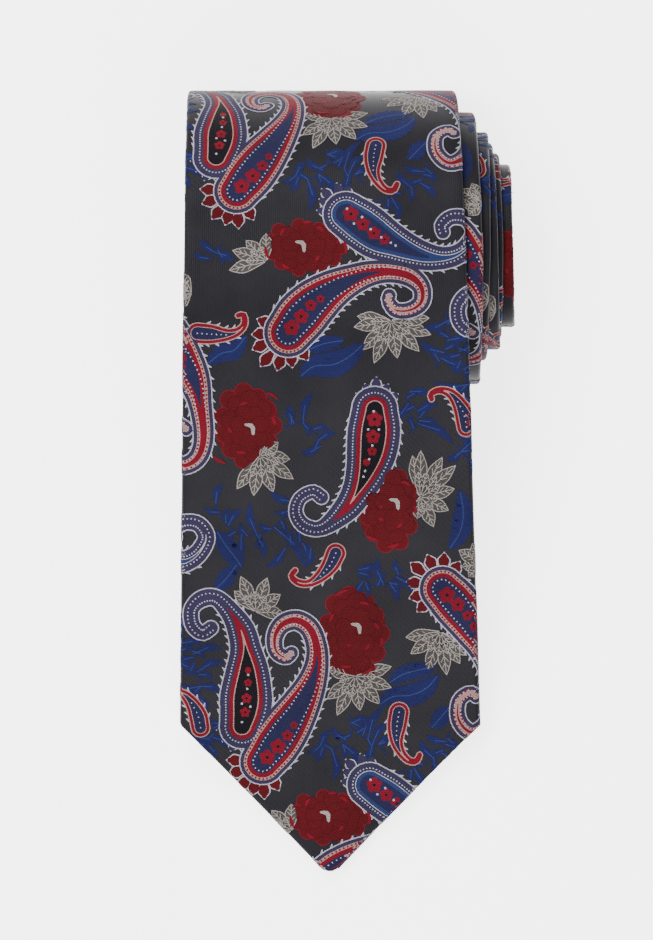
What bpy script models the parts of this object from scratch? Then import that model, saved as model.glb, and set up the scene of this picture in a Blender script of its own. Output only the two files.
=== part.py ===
"""Silk necktie, coiled loosely with the front of the blade laid out over the coil.

The tie is worked out flat first, as a tie maker cuts it: u runs across the tie, s runs along it
from the tip of the blade, and t runs down from the patterned face into the tie. Each piece is a
solid in u, s and t, which lay_down() then wraps along the coiled centre path.
"""
import bisect
import math

import bmesh
import bpy
from mathutils import Matrix, Vector

MM = 0.001

# Coil, seen from the side: y runs from the tip of the blade towards the far fold, z up.
CREST_Y = 198.0
CREST_Z = 57.0
CREST_STEP = 0.4
TIP_Z = 3.6
LAYER_PITCH = 3.1
TURNS = 8
FAR_BENDS = (249.0, 242.0, 235.6)
FAR_STEP = 3.4
NEAR_BENDS = (155.9, 163.4)
NEAR_STEP = 3.5
FAR_Z, FAR_Z_STEP = 13.0, 1.6
LAST_FAR_Y, LAST_FAR_Z = 217.0, 26.0
NEAR_Z, NEAR_Z_STEP = 16.0, 1.4
FAR_FOOT, NEAR_FOOT, FOOT_STEP = 20.0, 18.0, 1.7
ROUNDNESS, ROUNDNESS_STEP = 2.1, 0.03
TAIL_RUN = 10.0

# Width of the tie.
TIP_HALF = 1.5
POINT_SLOPE = 0.97
SHOULDER_S, SHOULDER_HALF = 47.7, 47.8
CREST_HALF = 44.0
FOLD_S, FOLD_HALF = 281.0, 42.2
NECK_S, NECK_END_S, NECK_HALF = 900.0, 1150.0, 19.0
TAIL_HALF = 24.0
FRONT_CENTRE_X = 1.6
FOLD_CENTRE_X = -1.1
# Right-hand edge of each turn at its near bend, its crest and its far bend.
TURN_EDGES = (
    (49.1, 49.4, 47.2),
    (51.0, 52.0, 51.6),
    (55.5, 54.4, 52.9),
    (55.8, 56.1, 54.8),
    (60.2, 59.1, 58.6),
    (58.0, 57.0, 56.0),
    (56.0, 55.0, 54.0),
)

# Layers through the tie.
CLOTH = 0.4
GAP = 0.3
BACK_DEPTH = 2.2
LINED_DEPTH = 3.0
LINED_END_S, LINED_RAMP = 145.0, 15.0
INTERLINING = (0.7, 1.5)
BLADE_TIPPING = (1.8, 2.2)
TAIL_INTERLINING_TOP, TAIL_LINED, TAIL_LINED_RAMP = 0.95, 76.0, 4.0
TAIL_TIPPING = (1.25, 1.5)
TIPPING_MARGIN = 8.0
SLIT_HALF = 0.6
THREAD_HALF = 0.25
SEAM_MARGIN, SEAM_DEPTH = 0.3, (0.05, 0.35)
FIT = 0.2

# Places along the tie.
MITRE_S = 15.1
HEM = 15.5
OPENING_S, OPENING_SLOPE = 95.0, 0.75
TAIL_HEM = 9.0
TAIL_OPENING, TAIL_OPENING_SLOPE = 55.0, 0.55
BLADE_SEAM_S, NECK_SEAM_S = 745.0, 1075.0
SEAM_GAP_HALF, SEAM_THREAD_HALF = 0.5, 0.2
HINGE_GAP_HALF = 0.2
LABEL_S, LABEL_HALF = (104.0, 122.0), 22.0
KEEPER_S, KEEPER_HALF, KEEPER_SLOT, KEEPER_FOOT = (131.0, 141.0), 26.0, 3.6, 6.0
TACK_HALF, TACK_LENGTH, TACK_HEIGHT = 2.2, 1.5, 0.5
STITCH_INSET, LABEL_STITCH_HALF, KEEPER_STITCH_HALF, STITCH_HEIGHT = 1.0, 0.3, 0.4, 0.3
INTERLINING_INSET = 6.0
BLADE_TIPPING_SPAN = (8.0, 125.0)
TAIL_TIPPING_FROM_END = (72.0, 8.0)
FRONT_STITCH_S, TAIL_STITCH_MARGIN = 98.0, 4.0

# Stations: the least distance between two, and the ones that aren't places of their own.
LEAST_ROW, END_ROW, AFTER_HINGE = 1.2, 1.0, 4.0
OPENING_WIDEST_S, TAIL_WIDEST = 51.2, 27.7

# Steps of the path in each stretch, and how much finer it is measured.
FRONT_STEPS, UPPER_STEPS, LOWER_STEPS, FINENESS = 14, 9, 6, 8


def clear_scene():
    """Starts from an empty scene."""
    for thing in list(bpy.data.objects):
        bpy.data.objects.remove(thing, do_unlink=True)


def quarter(start, end, flat_first, steps, power):
    """Points of a quarter superellipse, level at one end and upright at the other."""
    points = []
    for i in range(1, steps + 1):
        angle = math.pi / 2 * i / steps
        rise = math.sin(angle) ** (2 / power)
        rest = 1.0 if i == steps else 1 - math.cos(angle) ** (2 / power)
        across, along = (rise, rest) if flat_first else (rest, rise)
        y = start[0] + (end[0] - start[0]) * across
        z = start[1] + (end[1] - start[1]) * along
        points.append((y, z))
    return points


def bend(bends, step, turn):
    """Place of a turn's outermost point: the first ones are given, the rest step inwards."""
    last = len(bends) - 1
    return bends[turn] if turn <= last else bends[last] + step * (turn - last)


def centre_path(fineness):
    """The patterned face from the tip to the tail, as (y, z), and the index of each named place."""
    front = FRONT_STEPS * fineness
    upper = UPPER_STEPS * fineness
    lower = LOWER_STEPS * fineness
    points = []
    for i in range(front + 1):
        wave = (1 - math.cos(math.pi * i / front)) / 2
        points.append((CREST_Y * i / front, TIP_Z + (CREST_Z - TIP_Z) * wave))
    places = {}
    for turn in range(TURNS):
        power = ROUNDNESS - ROUNDNESS_STEP * turn
        crest = (CREST_Y + CREST_STEP * turn, CREST_Z - LAYER_PITCH * turn)
        last = turn == TURNS - 1
        far = (bend(FAR_BENDS, -FAR_STEP, turn), FAR_Z + FAR_Z_STEP * turn)
        if last:
            far = (LAST_FAR_Y, LAST_FAR_Z)
        floor = LAYER_PITCH * turn
        foot = (far[0] - FAR_FOOT + FOOT_STEP * turn, floor)
        places["crest", turn] = len(points) - 1
        points += quarter(crest, far, True, upper, power)
        places["far", turn] = len(points) - 1
        points += quarter(far, foot, False, lower, power)
        if last:
            points.append((foot[0] - TAIL_RUN, floor))
            break
        near = (bend(NEAR_BENDS, NEAR_STEP, turn), NEAR_Z + NEAR_Z_STEP * turn)
        start = (near[0] + NEAR_FOOT - FOOT_STEP * turn, floor)
        next_crest = (crest[0] + CREST_STEP, crest[1] - LAYER_PITCH)
        points.append(start)
        points += quarter(start, near, True, lower, power)
        places["near", turn] = len(points) - 1
        points += quarter(near, next_crest, False, upper, power)
    return points, places


def lengths(points):
    """Distance along the path to each of its points."""
    total = [0.0]
    for a, b in zip(points, points[1:]):
        total.append(total[-1] + math.dist(a, b))
    return total


PATH, PLACES = centre_path(FINENESS)
ALONG = lengths(PATH)
LENGTH = ALONG[-1]
HINGE_S = ALONG[PLACES["crest", 0]]


def between(stops, s):
    """Value at s on the straight runs between stops (s, value)."""
    if s <= stops[0][0]:
        return stops[0][1]
    for (s0, v0), (s1, v1) in zip(stops, stops[1:]):
        if s <= s1:
            part = (s - s0) / (s1 - s0)
            return v0 + (v1 - v0) * part
    return stops[-1][1]


WIDTHS = (
    (SHOULDER_S, SHOULDER_HALF),
    (HINGE_S, CREST_HALF),
    (FOLD_S, FOLD_HALF),
    (NECK_S, NECK_HALF),
    (NECK_END_S, NECK_HALF),
    (LENGTH - (TAIL_HALF - TIP_HALF) / POINT_SLOPE, TAIL_HALF),
)


def half_width(s):
    """Half of the tie's width at s, pointed at both ends."""
    point = TIP_HALF + POINT_SLOPE * max(0.0, min(s, LENGTH - s))
    return min(point, between(WIDTHS, s))


def centre_stops():
    """Where the tie's centre line lies across X: straight on the front, stepped out on each turn."""
    stops = [(SHOULDER_S, FRONT_CENTRE_X), (HINGE_S, 0.0), (FOLD_S, FOLD_CENTRE_X)]
    for turn, (near, crest, far) in enumerate(TURN_EDGES):
        spots = ((near, ("near", turn)), (crest, ("crest", turn + 1)), (far, ("far", turn + 1)))
        for edge, place in spots:
            s = ALONG[PLACES[place]]
            stops.append((s, edge - between(WIDTHS, s)))
    return stops


CENTRES = centre_stops()


def lay_down(u, s, t):
    """Wraps a point of the flat tie along the coil, and gives it in metres."""
    i = min(max(bisect.bisect_right(ALONG, s), 1), len(ALONG) - 1)
    part = (s - ALONG[i - 1]) / (ALONG[i] - ALONG[i - 1])
    (y0, z0), (y1, z1) = PATH[i - 1], PATH[i]
    before = Vector(PATH[max(i - 2, 0)])
    after = Vector(PATH[min(i + 1, len(PATH) - 1)])
    here = (Vector(PATH[i]) - before).normalized()
    there = (after - Vector(PATH[i - 1])).normalized()
    heading = here.lerp(there, part).normalized()
    y = y0 + (y1 - y0) * part + heading.y * t
    z = z0 + (z1 - z0) * part - heading.x * t
    return Vector((u + between(CENTRES, s), y - CREST_Y, z)) * MM


def depth(s):
    """Thickness of the tie: more in the blade, where the tipping lies inside."""
    part = min(max((s - LINED_END_S) / LINED_RAMP, 0.0), 1.0)
    return LINED_DEPTH + (BACK_DEPTH - LINED_DEPTH) * part


def opening(s):
    """Half of the gap between the two folded edges at the back, wide where the tipping shows."""
    blade = min(half_width(s) - HEM, (OPENING_S - s) * OPENING_SLOPE)
    tail = min(half_width(s) - TAIL_HEM, (TAIL_OPENING - LENGTH + s) * TAIL_OPENING_SLOPE)
    return max(SLIT_HALF, blade if s < HINGE_S else tail)


def shell_section(s):
    """Cloth folded round to the back, where its two edges meet along the middle."""
    w, back, slit = half_width(s), depth(s), opening(s)
    right = [(w, back), (slit, back), (slit, back - CLOTH), (w - CLOTH, back - CLOTH), (w - CLOTH, CLOTH)]
    left = [(-u, t) for u, t in reversed(right)]
    return [(-w, 0.0), (w, 0.0)] + right + left


def slab(half, low, high):
    """A flat rectangular section."""
    return [(-half, low), (half, low), (half, high), (-half, high)]


def inside_half(s):
    """Half of the width that a layer inside the cloth may have."""
    return half_width(s) - CLOTH - GAP - FIT


def interlining_section(s):
    """Wool interlining, pared thin at the tail to leave room for the tail's tipping."""
    low, high = INTERLINING
    part = min(max((s - LENGTH + TAIL_LINED) / TAIL_LINED_RAMP, 0.0), 1.0)
    return slab(inside_half(s), low, high + (TAIL_INTERLINING_TOP - high) * part)


def tipping_section(s):
    """Lining that shows in the opening and runs under the folded edges around it."""
    layer = BLADE_TIPPING if s < HINGE_S else TAIL_TIPPING
    return slab(min(inside_half(s), opening(s) + TIPPING_MARGIN), *layer)


def stitch_section(s):
    return slab(THREAD_HALF, depth(s) - CLOTH, depth(s))


def seam_section(s):
    return slab(half_width(s) - SEAM_MARGIN, *SEAM_DEPTH)


def on_back(half, low, high):
    """A section on the back of the tie, from low to high above it."""
    return lambda s: slab(half, depth(s) + low, depth(s) + high)


def beside(u, half, low, high):
    """A small section on the back, centred at u."""
    return lambda s: [(x + u, t) for x, t in slab(half, depth(s) + low, depth(s) + high)]


def keeper_section(s):
    """A band with its two feet on the back of the tie and a slot under its middle."""
    foot, band = depth(s) + GAP, CLOTH * 2
    inner = KEEPER_HALF - KEEPER_FOOT
    knee = inner - KEEPER_SLOT
    lower = [(-KEEPER_HALF, foot), (-inner, foot), (-knee, foot + KEEPER_SLOT)]
    upper = [(KEEPER_HALF, foot + band), (inner, foot + band), (knee, foot + KEEPER_SLOT + band)]
    lower += [(-u, t) for u, t in reversed(lower)]
    upper += [(-u, t) for u, t in reversed(upper)]
    return lower + upper


def rows(start, end):
    """Stations from start to end: the path's own steps, with the places where the width turns."""
    steps = ALONG[::FINENESS] + [SHOULDER_S, MITRE_S, OPENING_S, OPENING_WIDEST_S, LINED_END_S]
    steps += [LINED_END_S + LINED_RAMP, LENGTH - TAIL_OPENING, WIDTHS[-1][0], LENGTH - TAIL_WIDEST]
    steps += [HINGE_S + AFTER_HINGE, LENGTH - TAIL_LINED, LENGTH - TAIL_LINED + TAIL_LINED_RAMP]
    kept = [start]
    for s in sorted(s for s in steps if start + END_ROW < s < end - END_ROW):
        if s - kept[-1] > LEAST_ROW:
            kept.append(s)
    return kept + [end]


def ribbon(stations, section):
    """A closed solid in flat space, grown station by station from its first section."""
    mesh = bmesh.new()
    first = section(stations[0])
    end = mesh.faces.new([mesh.verts.new((u, stations[0], t)) for u, t in first])
    for before, s in zip(stations, stations[1:]):
        grown = bmesh.ops.extrude_face_region(mesh, geom=[end])["geom"]
        if before > stations[0]:
            bmesh.ops.delete(mesh, geom=[end], context="FACES_ONLY")
        order = {tuple(Vector((u, before, t))): i for i, (u, t) in enumerate(section(before))}
        target = section(s)
        end = [f for f in grown if isinstance(f, bmesh.types.BMFace)][0]
        for vert in end.verts:
            u, t = target[order[tuple(vert.co)]]
            vert.co = (u, s, t)
    split_large_faces(mesh)
    return mesh


def split_large_faces(mesh):
    """Splits end faces into triangles while the solid is still flat and they are still level."""
    bmesh.ops.recalc_face_normals(mesh, faces=mesh.faces)
    mesh.normal_update()
    bmesh.ops.triangulate(mesh, faces=[f for f in mesh.faces if len(f.verts) > 4])


def cut(mesh, s, keep_start):
    """Cuts a flat solid on the bias at s, and closes the cut."""
    normal = Vector((-1, 1, 0)) if keep_start else Vector((1, -1, 0))
    geometry = mesh.verts[:] + mesh.edges[:] + mesh.faces[:]
    done = bmesh.ops.bisect_plane(
        mesh, geom=geometry, dist=1e-5, plane_co=(0, s, 0), plane_no=normal, clear_outer=True
    )
    edges = [e for e in done["geom_cut"] if isinstance(e, bmesh.types.BMEdge)]
    bmesh.ops.edgenet_fill(mesh, edges=edges)
    split_large_faces(mesh)


def material(name, colour, roughness):
    """A plain cloth or thread finish."""
    made = bpy.data.materials.get(name) or bpy.data.materials.new(name)
    made.use_nodes = True
    shader = made.node_tree.nodes["Principled BSDF"]
    shader.inputs["Base Color"].default_value = (*colour, 1.0)
    shader.inputs["Roughness"].default_value = roughness
    shader.inputs["Metallic"].default_value = 0.0
    return made


FINISHES = {
    "jacquard_silk": ((0.035, 0.034, 0.042), 0.4),
    "wool_interlining": ((0.62, 0.58, 0.5), 0.9),
    "acetate_lining": ((0.02, 0.02, 0.025), 0.35),
    "label_satin": ((0.05, 0.05, 0.06), 0.45),
    "silk_thread": ((0.02, 0.02, 0.022), 0.6),
}


def finish(name, mesh, finish_name, axis=None):
    """Lays a flat solid down on the coil and makes it a named object.

    Flat space measures t downwards, so laying a solid down mirrors it, and its faces are turned.
    """
    for vert in mesh.verts:
        vert.co = lay_down(vert.co.x, vert.co.y, vert.co.z)
    if axis:
        bmesh.ops.translate(mesh, verts=mesh.verts, vec=-axis.location)
    bmesh.ops.reverse_faces(mesh, faces=mesh.faces)
    data = bpy.data.meshes.new(name)
    mesh.to_mesh(data)
    mesh.free()
    data.materials.append(material(finish_name, *FINISHES[finish_name]))
    made = bpy.data.objects.new(name, data)
    bpy.context.scene.collection.objects.link(made)
    made.parent = axis
    return made


def make_axis():
    """The fold line across the crest that the front of the blade lifts about."""
    axis = bpy.data.objects.new("blade_lift_axis", None)
    axis.location = lay_down(0.0, HINGE_S, 0.0)
    bpy.context.scene.collection.objects.link(axis)
    return axis


def make_front(axis):
    """Everything from the tip to the fold line, which lifts as one."""
    end = HINGE_S - HINGE_GAP_HALF
    finish("blade_shell_front", ribbon(rows(0.0, end), shell_section), "jacquard_silk", axis)
    lining = ribbon(rows(INTERLINING_INSET, end), interlining_section)
    finish("interlining_front", lining, "wool_interlining", axis)
    tipping = ribbon(rows(*BLADE_TIPPING_SPAN), tipping_section)
    finish("blade_tipping", tipping, "acetate_lining", axis)
    stitch = ribbon(rows(FRONT_STITCH_S, end), stitch_section)
    finish("slip_stitch_front", stitch, "silk_thread", axis)
    tack_section = on_back(TACK_HALF, GAP, GAP + TACK_HEIGHT)
    tack = ribbon([OPENING_S, OPENING_S + TACK_LENGTH], tack_section)
    finish("blade_bar_tack", tack, "silk_thread", axis)
    label = ribbon(rows(*LABEL_S), on_back(LABEL_HALF, GAP, GAP + CLOTH))
    finish("maker_label", label, "label_satin", axis)
    keeper = ribbon(rows(*KEEPER_S), keeper_section)
    finish("keeper_loop", keeper, "jacquard_silk", axis)
    for side, sign in (("left", -1), ("right", 1)):
        low = GAP * 2 + CLOTH
        place = sign * (LABEL_HALF - STITCH_INSET)
        bar = beside(place, LABEL_STITCH_HALF, low, low + STITCH_HEIGHT)
        stitch = ribbon([LABEL_S[0] + STITCH_INSET, LABEL_S[1] - STITCH_INSET], bar)
        finish(f"label_stitch_{side}", stitch, "silk_thread", axis)
        low = GAP * 2 + CLOTH * 2
        place = sign * (KEEPER_HALF - KEEPER_FOOT / 2)
        bar = beside(place, KEEPER_STITCH_HALF, low, low + STITCH_HEIGHT)
        stitch = ribbon([KEEPER_S[0] + STITCH_INSET, KEEPER_S[1] - STITCH_INSET], bar)
        finish(f"keeper_stitch_{side}", stitch, "silk_thread", axis)


def make_roll():
    """The rest of the tie, coiled: blade, neck and tail cloths joined on the bias."""
    start = HINGE_S + HINGE_GAP_HALF
    reach = SHOULDER_HALF
    blade = ribbon(rows(start, BLADE_SEAM_S + reach), shell_section)
    cut(blade, BLADE_SEAM_S - SEAM_GAP_HALF, True)
    finish("blade_shell_rolled", blade, "jacquard_silk")
    neck = ribbon(rows(BLADE_SEAM_S - reach, NECK_SEAM_S + reach), shell_section)
    cut(neck, BLADE_SEAM_S + SEAM_GAP_HALF, False)
    cut(neck, NECK_SEAM_S - SEAM_GAP_HALF, True)
    finish("neck_shell", neck, "jacquard_silk")
    tail = ribbon(rows(NECK_SEAM_S - reach, LENGTH), shell_section)
    cut(tail, NECK_SEAM_S + SEAM_GAP_HALF, False)
    finish("tail_shell", tail, "jacquard_silk")
    for name, seam_s in (("blade_neck_seam", BLADE_SEAM_S), ("neck_tail_seam", NECK_SEAM_S)):
        seam = ribbon(rows(seam_s - reach, seam_s + reach), seam_section)
        cut(seam, seam_s - SEAM_THREAD_HALF, False)
        cut(seam, seam_s + SEAM_THREAD_HALF, True)
        finish(name, seam, "silk_thread")
    lining = ribbon(rows(start, LENGTH - INTERLINING_INSET), interlining_section)
    finish("interlining_rolled", lining, "wool_interlining")
    tipping_start, tipping_end = (LENGTH - far for far in TAIL_TIPPING_FROM_END)
    tipping = ribbon(rows(tipping_start, tipping_end), tipping_section)
    finish("tail_tipping", tipping, "acetate_lining")
    stitch_end = LENGTH - TAIL_OPENING - TAIL_STITCH_MARGIN
    stitch = ribbon(rows(start, stitch_end), stitch_section)
    finish("slip_stitch_rolled", stitch, "silk_thread")
    tack_s = LENGTH - TAIL_OPENING
    tack = ribbon([tack_s - TACK_LENGTH, tack_s], on_back(TACK_HALF, GAP, GAP + TACK_HEIGHT))
    finish("tail_bar_tack", tack, "silk_thread")


def main():
    clear_scene()
    make_front(make_axis())
    make_roll()
    bpy.context.view_layer.update()


main()
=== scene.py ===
import math

import bmesh
import bpy
import numpy as np
from mathutils import Matrix, Vector


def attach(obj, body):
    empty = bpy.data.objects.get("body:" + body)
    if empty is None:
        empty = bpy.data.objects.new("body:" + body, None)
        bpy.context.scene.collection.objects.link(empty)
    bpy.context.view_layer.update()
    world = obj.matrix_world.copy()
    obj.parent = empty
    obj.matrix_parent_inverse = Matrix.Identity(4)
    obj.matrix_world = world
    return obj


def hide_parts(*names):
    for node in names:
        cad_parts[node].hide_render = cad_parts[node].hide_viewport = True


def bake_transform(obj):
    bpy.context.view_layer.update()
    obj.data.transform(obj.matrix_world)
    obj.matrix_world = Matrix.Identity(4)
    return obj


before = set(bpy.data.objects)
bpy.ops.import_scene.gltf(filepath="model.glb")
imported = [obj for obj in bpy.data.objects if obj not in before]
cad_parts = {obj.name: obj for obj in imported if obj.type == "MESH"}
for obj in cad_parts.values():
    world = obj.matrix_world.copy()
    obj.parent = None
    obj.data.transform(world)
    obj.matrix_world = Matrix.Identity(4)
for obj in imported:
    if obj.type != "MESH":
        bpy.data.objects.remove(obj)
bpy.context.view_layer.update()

bl_info = {
    "name": "Silk necktie",
    "version": (1, 0, 0),
    "blender": (4, 5, 0),
    "location": "View3D > Sidebar > Necktie",
    "description": "Woven silk, lining and stitching of a coiled necktie",
    "category": "Object",
}

MM = 0.001

# The coiled centre path, as in the part: y from the tip, z up, in mm.
CREST_Y, CREST_Z, CREST_STEP = 198.0, 57.0, 0.4
TIP_Z, LAYER_PITCH, TURNS = 3.6, 3.1, 8
FAR_BENDS, FAR_STEP = (249.0, 242.0, 235.6), 3.4
NEAR_BENDS, NEAR_STEP = (155.9, 163.4), 3.5
FAR_Z, FAR_Z_STEP, NEAR_Z, NEAR_Z_STEP = 13.0, 1.6, 16.0, 1.4
LAST_FAR = (217.0, 26.0)
FAR_FOOT, NEAR_FOOT, FOOT_STEP = 20.0, 18.0, 1.7
ROUNDNESS, ROUNDNESS_STEP, TAIL_RUN = 2.1, 0.03, 10.0
FRONT_STEPS, UPPER_STEPS, LOWER_STEPS = 112, 72, 48

# Width of the tie and how thick it is folded, in mm.
TIP_HALF, POINT_SLOPE, TIP_ROUNDING = 1.5, 0.97, 1.2
SHOULDER_S, SHOULDER_HALF, CREST_HALF = 47.7, 47.8, 44.0
FOLD_S, FOLD_HALF = 281.0, 42.2
NECK_S, NECK_END_S, NECK_HALF, TAIL_HALF = 900.0, 1150.0, 19.0, 24.0
FRONT_CENTRE_X, FOLD_CENTRE_X = 1.6, -1.1
TURN_EDGES = (
    (49.1, 49.4, 47.2),
    (51.0, 52.0, 51.6),
    (55.5, 54.4, 52.9),
    (55.8, 56.1, 54.8),
    (60.2, 59.1, 58.6),
    (58.0, 57.0, 56.0),
    (56.0, 55.0, 54.0),
)
BACK_DEPTH, LINED_DEPTH, LINED_END_S, LINED_RAMP = 2.2, 3.0, 145.0, 15.0
HEM, OPENING_S, OPENING_SLOPE = 15.5, 95.0, 0.75
TAIL_HEM, TAIL_OPENING, TAIL_OPENING_SLOPE = 9.0, 55.0, 0.55
BLADE_SEAM_S, NECK_SEAM_S = 745.0, 1075.0
# The silk and its figures stop just short of the tie's two points, where the rows would collapse.
SILK_END, FIGURES_END = 0.4, 0.5
SEAM_HALF_GAP = 0.15
# Figures on the coil are made in two lengths, so that no piece grows too large.
ROLL_SPLIT_S = 640.0


def quarter(start, end, flat_first, steps, power):
    """Points of a quarter superellipse, level at one end and upright at the other."""
    angle = np.arange(1, steps + 1) * (math.pi / 2 / steps)
    rise = np.sin(angle) ** (2 / power)
    rest = 1 - np.abs(np.cos(angle)) ** (2 / power)
    across, along = (rise, rest) if flat_first else (rest, rise)
    y = start[0] + (end[0] - start[0]) * across
    z = start[1] + (end[1] - start[1]) * along
    return list(zip(y, z))


def bend_at(bends, step, turn):
    """Place of a turn's outermost point: the first ones are given, the rest step inwards."""
    last = len(bends) - 1
    return bends[turn] if turn <= last else bends[last] + step * (turn - last)


def centre_path():
    """The patterned face from the tip to the tail as (y, z), and the index of each named place."""
    points = []
    for i in range(FRONT_STEPS + 1):
        wave = (1 - math.cos(math.pi * i / FRONT_STEPS)) / 2
        points.append((CREST_Y * i / FRONT_STEPS, TIP_Z + (CREST_Z - TIP_Z) * wave))
    places = {}
    for turn in range(TURNS):
        power = ROUNDNESS - ROUNDNESS_STEP * turn
        crest = (CREST_Y + CREST_STEP * turn, CREST_Z - LAYER_PITCH * turn)
        last = turn == TURNS - 1
        far = (bend_at(FAR_BENDS, -FAR_STEP, turn), FAR_Z + FAR_Z_STEP * turn)
        far = LAST_FAR if last else far
        floor = LAYER_PITCH * turn
        foot = (far[0] - FAR_FOOT + FOOT_STEP * turn, floor)
        places["crest", turn] = len(points) - 1
        points += quarter(crest, far, True, UPPER_STEPS, power)
        places["far", turn] = len(points) - 1
        points += quarter(far, foot, False, LOWER_STEPS, power)
        if last:
            points.append((foot[0] - TAIL_RUN, floor))
            break
        near = (bend_at(NEAR_BENDS, NEAR_STEP, turn), NEAR_Z + NEAR_Z_STEP * turn)
        start = (near[0] + NEAR_FOOT - FOOT_STEP * turn, floor)
        points.append(start)
        points += quarter(start, near, True, LOWER_STEPS, power)
        places["near", turn] = len(points) - 1
        points += quarter(near, (crest[0] + CREST_STEP, crest[1] - LAYER_PITCH), False, UPPER_STEPS, power)
    return np.array(points), places


PATH, PLACES = centre_path()
STEPS = np.linalg.norm(np.diff(PATH, axis=0), axis=1)
ALONG = np.concatenate([[0.0], np.cumsum(STEPS)])
HEADING = np.gradient(PATH, axis=0)
HEADING /= np.linalg.norm(HEADING, axis=1)[:, None]
LENGTH = float(ALONG[-1])
HINGE_S = float(ALONG[PLACES["crest", 0]])
WIDTH_STOPS = (
    (SHOULDER_S, SHOULDER_HALF),
    (HINGE_S, CREST_HALF),
    (FOLD_S, FOLD_HALF),
    (NECK_S, NECK_HALF),
    (NECK_END_S, NECK_HALF),
    (LENGTH - (TAIL_HALF - TIP_HALF) / POINT_SLOPE, TAIL_HALF),
)


def between(stops, s):
    """Value at s between stops (s, value)."""
    table = np.array(stops)
    return np.interp(s, table[:, 0], table[:, 1])


def end_rounding(s):
    """1 along the tie, falling to 0 in a small curve at its two points."""
    near_end = np.clip(np.minimum(s, LENGTH - s) / TIP_ROUNDING, 0, 1)
    return np.sin(near_end * math.pi / 2)


def half_width(s):
    """Half of the tie's width at s, pointed at both ends."""
    point = TIP_HALF + POINT_SLOPE * np.clip(np.minimum(s, LENGTH - s), 0, None)
    return np.minimum(point, between(WIDTH_STOPS, s)) * end_rounding(s)


def centre_stops():
    """Where the centre line lies across X: straight on the front, stepped out on each turn."""
    stops = [(SHOULDER_S, FRONT_CENTRE_X), (HINGE_S, 0.0), (FOLD_S, FOLD_CENTRE_X)]
    for turn, (near, crest, far) in enumerate(TURN_EDGES):
        spots = ((near, ("near", turn)), (crest, ("crest", turn + 1)), (far, ("far", turn + 1)))
        for edge, place in spots:
            s = ALONG[PLACES[place]]
            stops.append((s, edge - float(between(WIDTH_STOPS, s))))
    return stops


CENTRES = centre_stops()


def depth(s):
    """Thickness of the folded tie: more in the blade, where the tipping lies inside."""
    part = np.clip((s - LINED_END_S) / LINED_RAMP, 0, 1)
    return LINED_DEPTH + (BACK_DEPTH - LINED_DEPTH) * part


def edge_radius(s):
    """Radius of the soft fold along each side."""
    return np.minimum(depth(s) / 2, half_width(s))


def opening(s):
    """Half of the gap between the two folded edges at the back, wide where the tipping shows."""
    slit = setting("slit_half")
    blade = np.minimum(half_width(s) - HEM, (OPENING_S - s) * OPENING_SLOPE)
    tail = np.minimum(half_width(s) - TAIL_HEM, (TAIL_OPENING - LENGTH + s) * TAIL_OPENING_SLOPE)
    wide = np.where(s < HINGE_S, blade, tail)
    return np.minimum(np.maximum(slit, wide), np.maximum(half_width(s) - edge_radius(s), 0))


def fold_reach(s):
    """Distance round the folded cloth from the front centre line to its edge at the back."""
    flat, radius = half_width(s) - edge_radius(s), edge_radius(s)
    return flat * 2 + math.pi * radius - opening(s)


def lay_down(u, s, t):
    """Wraps flat points (u across, s along, t down from the patterned face) along the coil, in metres."""
    y, z = np.interp(s, ALONG, PATH[:, 0]), np.interp(s, ALONG, PATH[:, 1])
    hy, hz = np.interp(s, ALONG, HEADING[:, 0]), np.interp(s, ALONG, HEADING[:, 1])
    size = np.hypot(hy, hz)
    x = u + between(CENTRES, s)
    return np.stack([x, y - CREST_Y + hz / size * t, z - hy / size * t], axis=1) * MM


def wrap(v, s, h):
    """Lays cloth round the folded tie: v is the distance round it from the front's centre, h is above it."""
    radius = edge_radius(s)
    flat = half_width(s) - radius
    reach = np.abs(v)
    turn = np.clip((reach - flat) / np.maximum(radius, 1e-6), 0, math.pi)
    past = np.maximum(reach - flat - math.pi * radius, 0)
    u = np.minimum(reach, flat) + np.sin(turn) * (radius + h) - past
    drop = (depth(s) / 2 - radius) + radius * (1 - np.cos(turn)) - np.cos(turn) * h
    return lay_down(np.sign(v) * u, s, drop)


# Where the woven pattern lies on the cloth: q is the distance along it as seen from above.
PATTERN_S = np.concatenate([[-40.0], ALONG[: FRONT_STEPS + 1], [LENGTH + 100.0]])
PATTERN_Q = np.concatenate([[-40.0], PATH[: FRONT_STEPS + 1, 0], [CREST_Y + LENGTH + 100.0 - HINGE_S]])
PATTERN_CENTRES = [(s, x - FRONT_CENTRE_X) for s, x in CENTRES[:3]]


def on_cloth(p, q):
    """(v, s) on the cloth of a point of the woven pattern."""
    s = np.interp(q, PATTERN_Q, PATTERN_S)
    return p - between(PATTERN_CENTRES, s), s


def linear(code):
    """The linear colour of an sRGB hex code."""
    parts = [int(code[i : i + 2], 16) / 255 for i in (1, 3, 5)]
    return tuple(c / 12.92 if c <= 0.04045 else ((c + 0.055) / 1.055) ** 2.4 for c in parts)


def length_setting(name, description, millimetres):
    """A size that the user can change."""
    return bpy.props.FloatProperty(
        name=name, description=description, default=millimetres * MM, min=0.0, precision=5, unit="LENGTH"
    )


def setting(name):
    """One of the user's sizes, in mm."""
    return getattr(bpy.context.scene.necktie_sizes, name) / MM


def colour_setting(name, description, code):
    """A colour that the user can change."""
    return bpy.props.FloatVectorProperty(
        name=name, description=description, subtype="COLOR", size=3, min=0.0, max=1.0, default=linear(code)
    )


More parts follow.
